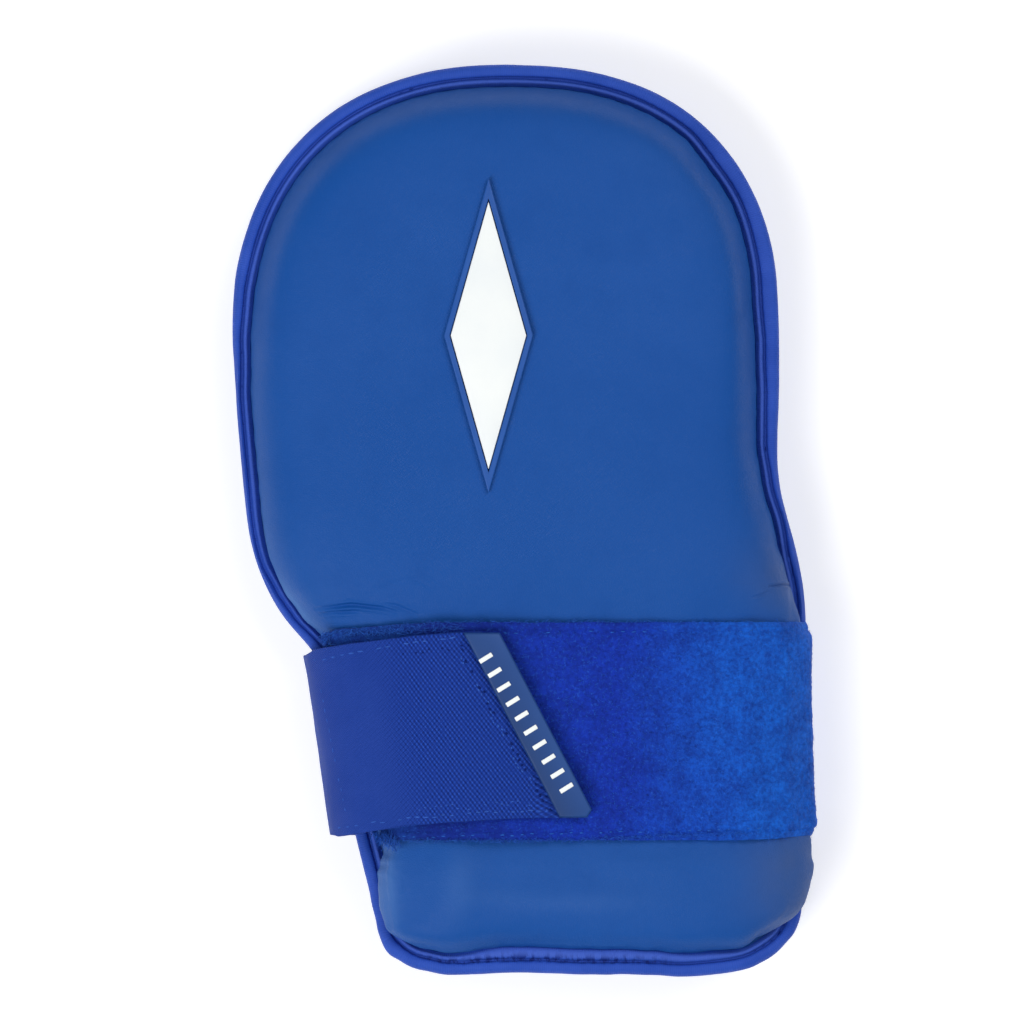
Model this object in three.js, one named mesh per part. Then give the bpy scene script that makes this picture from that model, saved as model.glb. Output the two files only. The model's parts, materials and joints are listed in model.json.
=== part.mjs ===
// A padded sliding mitt for ball games: two leather-faced pads with bound edges, sewn together
// round the fingers and open at the wrist, with a loop band and a hook strap round the cuff.
// Millimetres. +Y points to the fingertips, +Z out of the back of the hand, and the palm pad
// lies on z = 0. The origin is on that resting face, at the middle of the mitt's length and width.
import * as THREE from "three";
import { mergeVertices } from "three/addons/utils/BufferGeometryUtils.js";

// Outline, measured over the bound edge
const mittLength = 267;
const headWidth = 160;
const domeRise = 78.4;
const domeSquareness = { left: 2.26, right: 2.4 };
const thumbCorner = { wide: 32, deep: 30 };
const littleCorner = { wide: 27, deep: 22 };
const cornerSquareness = 2.7;
const rimWave = 1.2;
const rimWaveReach = 34;
const rimWaveFromMiddle = 16;

// Thickness, from the resting face up
const palmPad = 11;
const backPad = 11;
const pocketHeight = 24;
const crown = 1.9;
const bandPinch = 2.4;
const mouthLift = 11;

// Bound edge
const bindingWidth = 6;
const bindingHeight = 4.7;
const tapeWall = 0.8;
const flangeWall = 1.7;

// Wrist band, strap and pull tab
const bandWidth = 63.6;
const bandWall = 1.5;
const bandFromRim = 40.5;
const bandFromEdge = 10;
const bandPalmEnd = -14;
const bandStartTurn = 132;
const bandEndTurn = -90;
const strapWidth = 54;
const strapWall = 1.8;
const strapLift = -29;
const strapRoot = 14;
const strapTilt = 0.185;
const strapBend = 0.077;
const strapFromRim = 68.3;
const foldTop = -59.1;
const foldBottom = -51.5;
const foldSquareness = 3;
const tabWidth = 9.4;
const tabHeight = 2.2;
const tabBevel = 0.5;
const tabTop = -7;
const tabBottom = 21;
const tabCornerCut = 2.6;

// Emblem on the back of the hand
const emblemTall = 92;
const emblemWide = 26;
const emblemRim = 1.7;
const emblemRimHeight = 1.4;
const emblemFaceHeight = 1;
const emblemX = -5;
const emblemFromTip = 79.5;

// Gap kept between pieces that touch
const gap = 0.3;

// Sides from the dome's base (along 0) to the wrist rim (along 1). left and right are shares of
// half the head's width, seam is the side seam's rise as a share of the pocket's height, and
// puff is how far the leather swells out, as a share of the binding's width.
const sideRows = [
  { along: 0.0, left: 1.0, right: 1.0, seamLeft: 0, seamRight: 0, puffLeft: 0, puffRight: 0 },
  { along: 0.1, left: 0.988, right: 0.999, seamLeft: 0, seamRight: 0, puffLeft: 0, puffRight: 0 },
  { along: 0.2, left: 0.967, right: 0.995, seamLeft: 0, seamRight: 0, puffLeft: 0, puffRight: 0 },
  { along: 0.26, left: 0.953, right: 1.013, seamLeft: 0, seamRight: 0, puffLeft: 0, puffRight: 0 },
  { along: 0.32, left: 0.935, right: 1.052, seamLeft: 0, seamRight: -0.02, puffLeft: 0, puffRight: 0.1 },
  { along: 0.38, left: 0.892, right: 1.084, seamLeft: 0.02, seamRight: -0.1, puffLeft: 0, puffRight: 0.5 },
  { along: 0.44, left: 0.813, right: 1.099, seamLeft: 0.05, seamRight: -0.22, puffLeft: 0, puffRight: 0.9 },
  { along: 0.5, left: 0.698, right: 1.092, seamLeft: 0.07, seamRight: -0.31, puffLeft: 0, puffRight: 1.35 },
  { along: 0.6, left: 0.636, right: 1.077, seamLeft: 0.08, seamRight: -0.34, puffLeft: 0.2, puffRight: 1.6 },
  { along: 0.7, left: 0.592, right: 1.07, seamLeft: 0.08, seamRight: -0.34, puffLeft: 0.5, puffRight: 1.8 },
  { along: 0.8, left: 0.537, right: 1.072, seamLeft: 0.08, seamRight: -0.31, puffLeft: 0.9, puffRight: 1.95 },
  { along: 0.88, left: 0.49, right: 1.085, seamLeft: 0.06, seamRight: -0.25, puffLeft: 1.0, puffRight: 1.7 },
];

// Rings of a pad's outer face after its lip. inset is a share of the roll's width, rise is the
// share of the height from lip to crown on each pad, and swell the share of the puff.
const rollWidth = 20;
const rollRings = [
  { inset: 0.42, backRise: 0.46, palmRise: 0.52, swell: 1 },
  { inset: 0.64, backRise: 0.79, palmRise: 0.87, swell: 0.8 },
  { inset: 1.0, backRise: 1.0, palmRise: 1.0, swell: 0.4 },
];

// Rings of a pad's inner face, from the flange to the open pocket
const pocketRings = [
  { inset: 0.47, rise: 0.5 },
  { inset: 0.65, rise: 0.85 },
  { inset: 1.0, rise: 1.0 },
];

// Tape section round the edge: in is a share of the binding's width, up of its height
const tapeSection = [
  { in: 1.0, up: 0.03 },
  { in: 0.42, up: 0.03 },
  { in: 0.14, up: 0.13 },
  { in: 0.0, up: 0.45 },
  { in: 0.1, up: 0.84 },
  { in: 0.33, up: 1.0 },
  { in: 0.55, up: 0.93 },
  { in: 0.64, up: 0.8 },
  { in: 0.74, up: 0.93 },
  { in: 0.86, up: 0.96 },
  { in: 1.0, up: 0.8 },
];

// How many points each stretch of the outline has
const domeSteps = 11;
const headSteps = 9;
const bandSteps = 7;
const bandTurns = 20;
const bridgeReach = 3;
const upward = 0.1;
const cuffSteps = 2;
const cornerSteps = 5;
const rimSteps = 3;

const halfWidth = headWidth / 2;
const tipY = mittLength / 2;
const rimY = -mittLength / 2;
const domeBaseY = tipY - domeRise;
const bandBottomY = rimY + bandFromRim;
const bandTopY = bandBottomY + bandWidth;
const seamZ = palmPad + pocketHeight / 2;
const strapStack = 3 * gap + bandWall + strapWall + gap;
const lipInset = bindingWidth + 0.5;
const lipHeight = bindingHeight + 0.6;
const flangeInset = 2.3;
const flangeMouth = bindingWidth + gap;
const flangeLow = tapeWall + 2 * gap;
const spineEnd = 0.12;
const skyZ = 10 * (palmPad + pocketHeight + backPad);

// Value of a table's column at a place between its rows, on a smooth curve through them
function columnAt(rows, column, along) {
  const last = rows.length - 1;
  let k = 0;
  while (k < last - 1 && along > rows[k + 1].along) k += 1;
  const slope = (j) => {
    const before = rows[Math.max(j - 1, 0)];
    const after = rows[Math.min(j + 1, last)];
    return (after[column] - before[column]) / (after.along - before.along);
  };
  const span = rows[k + 1].along - rows[k].along;
  const t = Math.min((along - rows[k].along) / span, 1);
  const h = t * t * (3 - 2 * t);
  const startPull = t * (1 - t) * (1 - t) * span * slope(k);
  const endPull = t * t * (t - 1) * span * slope(k + 1);
  return rows[k][column] * (1 - h) + rows[k + 1][column] * h + startPull + endPull;
}

const smooth = (t) => t * t * (3 - 2 * t);

// One point on a quarter of a squared ellipse; turn goes from 0 at its side to 1 at its end
function quarter(centreX, centreY, wide, deep, squareness, turn) {
  const angle = (turn * Math.PI) / 2;
  const x = centreX + wide * Math.cos(angle) ** (2 / squareness);
  const y = centreY + deep * Math.sin(angle) ** (2 / squareness);
  return new THREE.Vector2(x, y);
}

// One side of the outline from fingertip to the middle of the rim: side is 1 for the right,
// -1 for the left. Both sides have as many points, at the same heights down to the cuff.
function sideStations(side) {
  const edge = side > 0 ? "right" : "left";
  const corner = side > 0 ? thumbCorner : littleCorner;
  const tag = side > 0 ? "Right" : "Left";
  const sideLength = domeBaseY - rimY;
  const stations = [];
  const put = (x, y, rest = {}) =>
    stations.push({ at: new THREE.Vector2(x, y), seam: 0, puff: 0, pinch: 0, open: 0, ...rest });
  const along = (y) => Math.min((domeBaseY - y) / sideLength, 1);
  const putSide = (y, pinch, open) =>
    put(side * halfWidth * columnAt(sideRows, edge, along(y)), y, {
      seam: pocketHeight * columnAt(sideRows, "seam" + tag, along(y)),
      puff: bindingWidth * columnAt(sideRows, "puff" + tag, along(y)),
      pinch,
      open,
    });

  for (let k = 0; k < domeSteps; k += 1) {
    const p = quarter(0, domeBaseY, halfWidth, domeRise, domeSquareness[edge], 1 - k / domeSteps);
    put(side * p.x, p.y);
  }
  for (let k = 0; k < headSteps; k += 1)
    putSide(THREE.MathUtils.lerp(domeBaseY, bandTopY, k / headSteps), 0, 0);
  for (let k = 0; k <= bandSteps; k += 1)
    putSide(THREE.MathUtils.lerp(bandTopY, bandBottomY, k / bandSteps), 1, 0);

  const openSteps = cuffSteps + cornerSteps + rimSteps;
  const cornerY = rimY + corner.deep;
  for (let k = 1; k <= cuffSteps; k += 1)
    putSide(THREE.MathUtils.lerp(bandBottomY, cornerY, k / cuffSteps), 0, k / openSteps);
  const cornerStart = stations.at(-1);
  const cornerX = Math.abs(cornerStart.at.x) - corner.wide;
  const middleX = (thumbCorner.wide - littleCorner.wide) / 2 + spineX(rimY);
  for (let k = 1; k <= cornerSteps; k += 1) {
    const p = quarter(cornerX, 0, corner.wide, corner.deep, cornerSquareness, k / cornerSteps);
    const open = (cuffSteps + k) / openSteps;
    const fade = 1 - smooth(k / cornerSteps);
    put(side * p.x, cornerY - p.y, {
      seam: cornerStart.seam * fade,
      puff: cornerStart.puff * fade,
      open,
    });
  }
  const rimX = side * cornerX;
  for (let k = 1; k <= rimSteps; k += 1) {
    const open = (cuffSteps + cornerSteps + k) / openSteps;
    const x = THREE.MathUtils.lerp(rimX, middleX, k / rimSteps);
    put(x, rimY, { open });
  }
  return stations;
}

// Middle of the mitt between its two sides, down to the last row of the table
function spineX(y) {
  const along = Math.min(Math.max((domeBaseY - y) / (domeBaseY - rimY), 0), sideRows.at(-1).along);
  const right = columnAt(sideRows, "right", along);
  const left = columnAt(sideRows, "left", along);
  return (halfWidth * (right - left)) / 2;
}

// The closed outline as one loop of stations: down the right side, up the left one. Each holds
// its inward direction and the point of the spine that it shares with its opposite.
function closedOutline() {
  const right = sideStations(1);
  const left = sideStations(-1);
  const loop = [...right, ...left.slice(1, -1).reverse()];
  const spineEndY = bandBottomY - spineEnd * bandFromRim;
  const waveX = spineX(rimY) - rimWaveFromMiddle;
  loop.forEach((s) => {
    const y = Math.min(Math.max(s.at.y, spineEndY), domeBaseY);
    s.spine = new THREE.Vector2(spineX(y), y);
    if (s.at.y > rimY + rimWave) return;
    const reach = Math.min(Math.abs(s.at.x - waveX) / rimWaveReach, 1);
    s.at.y += rimWave * (1 - smooth(reach));
  });
  loop.forEach((s, i) => {
    const before = loop[(i + loop.length - 1) % loop.length].at;
    const after = loop[(i + 1) % loop.length].at;
    const way = after.clone().sub(before);
    if (s.pinch > 0) way.x = 0;
    s.inward = new THREE.Vector2(way.y, -way.x).normalize();
  });
  return loop;
}

const outline = closedOutline();

// Point of a station's section: straight in from the outline to the lip, then to the spine
function inFrom(station, inset, z) {
  const lip = station.at.clone().addScaledVector(station.inward, Math.min(inset, lipInset));
  if (inset > lipInset) {
    const way = station.spine.clone().sub(lip);
    lip.addScaledVector(way.normalize(), inset - lipInset);
  }
  return new THREE.Vector3(lip.x, lip.y, z);
}

const reachOf = (station) => {
  const lip = station.at.clone().addScaledVector(station.inward, lipInset);
  return lipInset + lip.distanceTo(station.spine);
};

// Height of a pad's edge at a station: both pads meet along the sides and part at the mouth.
// face is 1 for the pad on the back of the hand and -1 for the palm's.
const edgeZ = (station, face) =>
  seamZ + station.seam * (1 - smooth(station.open)) + face * mouthLift * smooth(station.open);

function crownZ(station, face, share) {
  if (face < 0) return strapStack * station.pinch;
  const top = palmPad + pocketHeight + backPad;
  return top - bandPinch * station.pinch - crown * (1 - share) ** 2;
}

// Faces between rings of points: each ring is a loop, and rings follow each other. When joined
// is true the last ring meets the first, as in a tyre.
function ringFaces(rings, joined) {
  const around = rings[0].length;
  const positions = rings.flat().flatMap((p) => [p.x, p.y, p.z]);
  const indices = [];
  const ringPairs = joined ? rings.length : rings.length - 1;
  for (let r = 0; r < ringPairs; r += 1) {
    const low = r * around;
    const high = ((r + 1) % rings.length) * around;
    for (let i = 0; i < around; i += 1) {
      const next = (i + 1) % around;
      indices.push(low + i, low + next, high + next, low + i, high + next, high + i);
    }
  }
  return { positions, indices };
}

function solidFromRings(rings, joined = false) {
  const { positions, indices } = ringFaces(rings, joined);
  return closedGeometry(positions, indices);
}

// A closed sheet from rows of section loops, with its two ends capped by strips
function solidFromSections(sections) {
  const around = sections[0].length;
  const { positions, indices } = ringFaces(sections, false);
  const capped = (ring, flip) => {
    const start = positions.length / 3;
    ring.forEach((p) => positions.push(p.x, p.y, p.z));
    for (let c = 0; c < around / 2 - 1; c += 1) {
      const quad = [c, c + 1, around - 2 - c, around - 1 - c].map((k) => k + start);
      const [a, b, d, e] = flip ? [quad[0], quad[3], quad[2], quad[1]] : quad;
      indices.push(a, b, d, a, d, e);
    }
  };
  capped(sections[0], true);
  capped(sections.at(-1), false);
  return closedGeometry(positions, indices);
}

// Merges shared corners, drops faces with no area and turns the faces outwards
function closedGeometry(positions, indices) {
  const raw = new THREE.BufferGeometry();
  raw.setAttribute("position", new THREE.Float32BufferAttribute(positions, 3));
  raw.setIndex(indices);
  const merged = mergeVertices(raw, 1e-3);
  const corners = merged.index.array;
  const kept = [];
  for (let i = 0; i < corners.length; i += 3) {
    const [a, b, c] = corners.slice(i, i + 3);
    if (a !== b && b !== c && a !== c) kept.push([a, b, c]);
  }
  const at = (k) => new THREE.Vector3().fromBufferAttribute(merged.attributes.position, k);
  const volume = kept.reduce((sum, [a, b, c]) => sum + at(a).dot(at(b).cross(at(c))), 0);
  merged.setIndex((volume > 0 ? kept : kept.map(([a, b, c]) => [a, c, b])).flat());
  merged.computeVertexNormals();
  return merged;
}

// Rings of a pad's outer face at one station, from the lip to the spine, as inset, z and share
function rollOf(station, face) {
  const lipZ = edgeZ(station, face) + face * lipHeight;
  const reach = reachOf(station);
  const rise = face > 0 ? "backRise" : "palmRise";
  const rings = rollRings.map((ring) => {
    const share = ring.inset * rollWidth / reach;
    const top = crownZ(station, face, share);
    return {
      inset: ring.inset * rollWidth - station.puff * ring.swell,
      z: THREE.MathUtils.lerp(lipZ, top, ring[rise]),
    };
  });
  return [
    { inset: lipInset, z: lipZ },
    ...rings,
    { inset: (rollWidth + reach) / 2, z: crownZ(station, face, (rollWidth + reach) / 2 / reach) },
    { inset: reach, z: crownZ(station, face, 1) },
  ];
}

// Position on a pad's outer face. Insets short of the lip swell out past it, level with it.
function facePoint(station, ring) {
  if (ring.inset >= lipInset) return inFrom(station, ring.inset, ring.z);
  const p = station.at.clone().addScaledVector(station.inward, ring.inset);
  return new THREE.Vector3(p.x, p.y, ring.z);
}

// One pad: leather over foam outside, a flange held in the binding, and the pocket's wall inside
function padGeometry(face) {
  const flangeZ = (s, up) => edgeZ(s, face) + face * up;
  const flangeTop = flangeLow + flangeWall;
  const pocketZ = face > 0 ? palmPad + pocketHeight : palmPad;
  const outer = outline.map((s) => rollOf(s, face).reverse().map((ring) => facePoint(s, ring)));
  const inner = outline.map((s) => {
    const reach = reachOf(s);
    const low = flangeZ(s, flangeLow);
    return [
      inFrom(s, flangeInset, flangeZ(s, flangeTop)),
      inFrom(s, flangeInset, low),
      inFrom(s, flangeMouth, low),
      ...pocketRings.map((ring) =>
        inFrom(s, ring.inset * rollWidth, THREE.MathUtils.lerp(low, pocketZ, ring.rise)),
      ),
      inFrom(s, (rollWidth + reach) / 2, pocketZ),
      inFrom(s, reach, pocketZ),
    ];
  });
  const profiles = outline.map((s, i) => [
    ...outer[i],
    inFrom(s, flangeMouth, flangeZ(s, flangeTop)),
    ...inner[i],
  ]);
  return solidFromRings(profiles[0].map((_, k) => profiles.map((profile) => profile[k])));
}

// The tape folded round a pad's edge, with its slot for the flange
function bindingGeometry(face) {
  const slotTop = flangeLow + flangeWall + gap;
  const section = [
    ...tapeSection.map((p) => [p.in * bindingWidth, p.up * bindingHeight]),
    [bindingWidth, slotTop],
    [flangeInset - gap, slotTop],
    [flangeInset - gap, flangeLow - gap],
    [bindingWidth, flangeLow - gap],
  ];
  const rings = section.map(([inset, up]) =>
    outline.map((s) => inFrom(s, inset, edgeZ(s, face) + face * up)),
  );
  return solidFromRings(rings, true);
}

// Points pushed sideways off a section that runs in x and z at one height of the mitt
function pushedOut(points, distance) {
  return points.map((p, k) => {
    const before = points[Math.max(k - 1, 0)];
    const after = points[Math.min(k + 1, points.length - 1)];
    const way = new THREE.Vector2(after.x - before.x, after.z - before.z).normalize();
    return new THREE.Vector3(p.x - way.y * distance, p.y, p.z + way.x * distance);
  });
}

const sheetSection = (inside, outside) => [...inside, ...outside.reverse()];

// Outer surface points of both pads and bindings at one station
function skinOf(station) {
  return [1, -1].flatMap((face) => [
    ...rollOf(station, face).map((ring) => facePoint(station, ring)),
    ...tapeSection.map((p) =>
      inFrom(station, p.in * bindingWidth, edgeZ(station, face) + face * p.up * bindingHeight),
    ),
  ]);
}

// Where a taut sheet lies round points at one height, from an end on top at startX, over the
// right side, to an end underneath: corners between tangent lines that turn from up to down
function tautPath(points, distance, startX, y) {
  const lines = Array.from({ length: bandTurns + 1 }, (_, k) => {
    const turn = THREE.MathUtils.lerp(bandStartTurn, bandEndTurn, k / bandTurns);
    const angle = THREE.MathUtils.degToRad(turn);
    const way = new THREE.Vector2(Math.cos(angle), Math.sin(angle));
    return { way, reach: Math.max(...points.map((p) => way.x * p.x + way.y * p.z)) + distance };
  });
  const corners = lines.slice(1).map((line, k) => {
    const before = lines[k];
    const turn = before.way.cross(line.way);
    const x = (before.reach * line.way.y - line.reach * before.way.y) / turn;
    const z = (line.reach * before.way.x - before.reach * line.way.x) / turn;
    return new THREE.Vector3(x, y, z);
  });
  const upper = lines.filter((line) => line.way.y > upward);
  const topAt = (x) => Math.min(...upper.map((line) => (line.reach - line.way.x * x) / line.way.y));
  const kept = corners.map((p) => (p.x > startX ? p : new THREE.Vector3(startX, y, topAt(startX))));
  return [...kept, new THREE.Vector3(bandPalmEnd, y, corners.at(-1).z)];
}

// The loop band: sewn at the left edge, over the back of the cuff, round the right side and
// across the palm side to its end
function bandGeometry() {
  const first = domeSteps + headSteps;
  const sections = [];
  for (let i = first; i <= first + bandSteps; i += 1) {
    const right = outline[i];
    const left = outline[(outline.length - i) % outline.length];
    const skin = [...skinOf(right), ...skinOf(left)];
    const start = left.at.x + bandFromEdge;
    const [inside, outside] = [gap, gap + bandWall].map((distance) =>
      tautPath(skin, distance, start, right.at.y),
    );
    sections.push(sheetSection(inside, outside));
  }
  return solidFromSections(sections);
}

// Height of a mesh's top at a place, found by looking straight down on it
const down = new THREE.Vector3(0, 0, -1);
function heightAt(mesh, x, y) {
  const sky = new THREE.Vector3(x, y, skyZ);
  const hits = new THREE.Raycaster(sky, down).intersectObject(mesh);
  return hits.length > 0 ? hits[0].point.z : 0;
}

// The highest of the mesh's tops close to a place, for a piece that bridges its hollows
function bridgeAt(mesh, x, y) {
  const steps = [-bridgeReach, 0, bridgeReach];
  return Math.max(...steps.flatMap((dx) => steps.map((dy) => heightAt(mesh, x + dx, y + dy))));
}

const strapY = rimY + strapFromRim;
const foldX = (row) => THREE.MathUtils.lerp(foldTop, foldBottom, row) + strapWall / 2;

// Height on the page of a row of the strap: it climbs from the fold and levels out
function strapRowY(x, row) {
  const off = x - foldX(row);
  return strapY + (0.5 - row) * strapWidth + strapTilt * off - (strapBend * off ** 2) / strapWidth;
}

// The hook strap: from its root under the palm side, round the left side, and over the band
function strapGeometry(band) {
  const rows = 7;
  const frontSteps = 8;
  const foldSteps = 12;
  const rootSteps = 3;
  const lowZ = gap + strapWall / 2;
  const sections = [];
  for (let r = 0; r <= rows; r += 1) {
    const row = r / rows;
    const leftX = foldX(row);
    const y0 = strapRowY(leftX, row);
    const tilted = (x) => strapRowY(x, row);
    const endX = THREE.MathUtils.lerp(tabTop, tabBottom, row);
    const onBand = (x) => bridgeAt(band, x, tilted(x)) + gap + strapWall / 2;
    const middle = [];
    for (let k = 0; k < frontSteps; k += 1) {
      const x = THREE.MathUtils.lerp(endX, strapLift, k / frontSteps);
      middle.push(new THREE.Vector3(x, tilted(x), onBand(x)));
    }
    const highZ = onBand(strapLift);
    for (let k = 0; k <= foldSteps; k += 1) {
      const angle = (0.5 - k / foldSteps) * Math.PI;
      const out = Math.max(Math.cos(angle), 0) ** (2 / foldSquareness);
      const up = Math.sign(Math.sin(angle)) * Math.abs(Math.sin(angle)) ** (2 / foldSquareness);
      const x = strapLift + (leftX - strapLift) * out;
      const z = (highZ + lowZ) / 2 + ((highZ - lowZ) / 2) * up;
      middle.push(new THREE.Vector3(x, angle > 0 ? tilted(x) : y0, z));
    }
    for (let k = 1; k <= rootSteps; k += 1) {
      const x = THREE.MathUtils.lerp(strapLift, strapRoot, k / rootSteps);
      middle.push(new THREE.Vector3(x, y0, lowZ));
    }
    sections.push(sheetSection(pushedOut(middle, strapWall / 2), pushedOut(middle, -strapWall / 2)));
  }
  return solidFromSections(sections);
}

// Points spaced along a closed outline's straight edges, so that it can follow a curved face
function spacedLoop(corners, steps) {
  return corners.flatMap((corner, k) => {
    const next = corners[(k + 1) % corners.length];
    return Array.from({ length: steps }, (_, j) => corner.clone().lerp(next, j / steps));
  });
}

// The pull tab moulded on the strap's slanted end, with a bevelled top and a cut corner
function tabGeometry(band) {
  const top = new THREE.Vector2(tabTop, strapRowY(tabTop, 0));
  const bottom = new THREE.Vector2(tabBottom, strapRowY(tabBottom, 1));
  const way = bottom.clone().sub(top).normalize();
  const reach = tabWidth / 2 / Math.abs(way.y);
  const length = top.distanceTo(bottom);
  const rowAt = (down, height, cut) => {
    const middle = top.clone().addScaledVector(way, down);
    const low = Math.max(height - tabBevel, 0);
    const section = [
      [-reach, 0],
      [reach - cut, 0],
      [reach - cut, low],
      [reach - cut - tabBevel, height],
      [tabBevel - reach, height],
      [-reach, low],
    ];
    return section.map(([out, up]) => {
      const [x, y] = [middle.x + out, middle.y];
      return new THREE.Vector3(x, y, bridgeAt(band, x, y) + strapWall + 2 * gap + up);
    });
  };
  const longRows = 9;
  const straight = Array.from({ length: longRows + 1 }, (_, k) =>
    rowAt(THREE.MathUtils.lerp(tabBevel, length - tabCornerCut, k / longRows), tabHeight, 0),
  );
  const nearEnd = tabCornerCut - tabBevel;
  return solidFromSections([
    rowAt(0, tabHeight - tabBevel, 0),
    ...straight,
    rowAt(length - tabBevel, tabHeight, nearEnd),
    rowAt(length, tabHeight - tabBevel, tabCornerCut),
  ]);
}

// The emblem is a tall diamond. A loop of it is its outline at a share of its full size, laid on
// the pad and raised by a height.
function emblemLoop(pad, share, height) {
  const y = tipY - emblemFromTip;
  const [wide, tall] = [(emblemWide / 2) * share, (emblemTall / 2) * share];
  const corners = [
    new THREE.Vector2(emblemX, y + tall),
    new THREE.Vector2(emblemX - wide, y),
    new THREE.Vector2(emblemX, y - tall),
    new THREE.Vector2(emblemX + wide, y),
  ];
  return spacedLoop(corners, 6).map(
    (p) => new THREE.Vector3(p.x, p.y, heightAt(pad, p.x, p.y) + gap + height),
  );
}

const rimShare = 1 - (2 * emblemRim) / emblemWide;

function emblemRimGeometry(pad) {
  const rings = [
    emblemLoop(pad, 1, 0),
    emblemLoop(pad, 1, emblemRimHeight),
    emblemLoop(pad, rimShare, emblemRimHeight),
    emblemLoop(pad, rimShare, 0),
  ];
  return solidFromRings(rings, true);
}

// The face fills the rim, less the gap
function emblemFaceGeometry(pad) {
  const share = rimShare - (2 * gap) / emblemWide;
  const rings = [
    emblemLoop(pad, 0, 0),
    emblemLoop(pad, share / 2, 0),
    emblemLoop(pad, share, 0),
    emblemLoop(pad, share, emblemFaceHeight),
    emblemLoop(pad, share / 2, emblemFaceHeight),
    emblemLoop(pad, 0, emblemFaceHeight),
  ];
  return solidFromRings(rings);
}

const finish = (color, roughness) =>
  new THREE.MeshStandardMaterial({ color, roughness, metalness: 0, side: THREE.DoubleSide });

const leather = finish(0x2550a0, 0.5);
const binding = finish(0x2a4cb4, 0.75);
const loopPile = finish(0x1a3ba6, 0.95);
const webbing = finish(0x1f3b92, 0.85);
const rubber = finish(0x335588, 0.55);
const whiteRubber = finish(0xf6f8f8, 0.5);

const mitt = new THREE.Group();

function addPiece(name, geometry, material) {
  const mesh = new THREE.Mesh(geometry, material);
  mesh.name = name;
  mitt.add(mesh);
  return mesh;
}

const backOfHand = addPiece("back_pad", padGeometry(1), leather);
addPiece("palm_pad", padGeometry(-1), leather);
addPiece("back_binding", bindingGeometry(1), binding);
addPiece("palm_binding", bindingGeometry(-1), binding);
const wristBand = addPiece("wrist_band", bandGeometry(), loopPile);
addPiece("hook_strap", strapGeometry(wristBand), webbing);
addPiece("pull_tab", tabGeometry(wristBand), rubber);
addPiece("emblem_rim", emblemRimGeometry(backOfHand), rubber);
addPiece("emblem_face", emblemFaceGeometry(backOfHand), whiteRubber);

const size = new THREE.Box3().setFromObject(mitt);
const middle = size.getCenter(new THREE.Vector3());
mitt.children.forEach((piece) => piece.position.set(-middle.x, -middle.y, -size.min.z));

export default mitt;
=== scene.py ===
import json
import math
import random
import bpy
import bmesh
from mathutils import Matrix, Vector, noise
from mathutils.bvhtree import BVHTree
from mathutils.kdtree import KDTree

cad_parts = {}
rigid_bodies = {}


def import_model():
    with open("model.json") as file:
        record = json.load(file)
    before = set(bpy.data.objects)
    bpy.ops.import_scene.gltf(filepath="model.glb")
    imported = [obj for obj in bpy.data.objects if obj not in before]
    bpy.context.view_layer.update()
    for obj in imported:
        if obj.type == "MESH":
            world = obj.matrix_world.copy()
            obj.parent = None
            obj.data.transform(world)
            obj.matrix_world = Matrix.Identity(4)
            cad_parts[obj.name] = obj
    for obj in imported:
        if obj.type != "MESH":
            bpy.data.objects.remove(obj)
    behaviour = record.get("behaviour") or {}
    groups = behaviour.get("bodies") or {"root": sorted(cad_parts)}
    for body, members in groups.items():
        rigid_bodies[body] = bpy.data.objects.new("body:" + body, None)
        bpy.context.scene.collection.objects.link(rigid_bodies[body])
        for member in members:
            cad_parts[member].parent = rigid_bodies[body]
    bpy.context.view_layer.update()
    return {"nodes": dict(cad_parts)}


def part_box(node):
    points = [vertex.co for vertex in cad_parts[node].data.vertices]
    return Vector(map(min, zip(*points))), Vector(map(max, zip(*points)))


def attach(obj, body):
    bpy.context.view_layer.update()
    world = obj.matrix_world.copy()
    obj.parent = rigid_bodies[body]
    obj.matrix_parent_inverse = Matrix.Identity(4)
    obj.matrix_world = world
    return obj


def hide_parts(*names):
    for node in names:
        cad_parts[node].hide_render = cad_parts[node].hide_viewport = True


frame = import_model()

mm = 0.001
dice = random.Random(11)

# The photograph's scale, and the edge of the mitt that fixes its place in the picture
picture = {"mmPerPixel": 0.2928, "leftEdge": 232.5, "topEdge": 65.0, "side": 1024}
bindingLow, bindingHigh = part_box("back_binding")


def spot(px, py):  # a pixel's place on the mitt, in metres
    k = picture["mmPerPixel"] * mm
    return Vector((bindingLow.x + (px - picture["leftEdge"]) * k,
                   bindingHigh.y - (py - picture["topEdge"]) * k, 0.0))


# Small helpers for meshes

def copyOf(nodeName):
    bm = bmesh.new()
    bm.from_mesh(frame["nodes"][nodeName].data)
    bmesh.ops.remove_doubles(bm, verts=bm.verts, dist=2e-6)
    bmesh.ops.join_triangles(bm, faces=bm.faces, angle_face_threshold=3.1, angle_shape_threshold=3.1)
    return bm


def subdivided(bm, levels, holds=0):  # Catmull-Clark, applied; holds pull the surface back through its old corners
    mesh = bpy.data.meshes.new("work")
    bm.to_mesh(mesh)
    carrier = bpy.data.objects.new("work", mesh)
    bpy.context.scene.collection.objects.link(carrier)
    step = carrier.modifiers.new("Subdivision", "SUBSURF")
    step.levels = step.render_levels = levels

    def smoothed():
        return bpy.data.meshes.new_from_object(carrier.evaluated_get(bpy.context.evaluated_depsgraph_get()))

    wanted = [v.co.copy() for v in mesh.vertices]
    for turn in range(holds):
        trial = smoothed()
        for k, v in enumerate(mesh.vertices):
            v.co += (wanted[k] - trial.vertices[k].co) * 0.85
        mesh.update()
        carrier.update_tag()
        bpy.context.view_layer.update()
        bpy.data.meshes.remove(trial)
    fine = smoothed()
    bm.clear()
    bm.from_mesh(fine)
    bpy.data.objects.remove(carrier)
    bpy.data.meshes.remove(mesh)
    bpy.data.meshes.remove(fine)
    bm.normal_update()
    return bm


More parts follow.
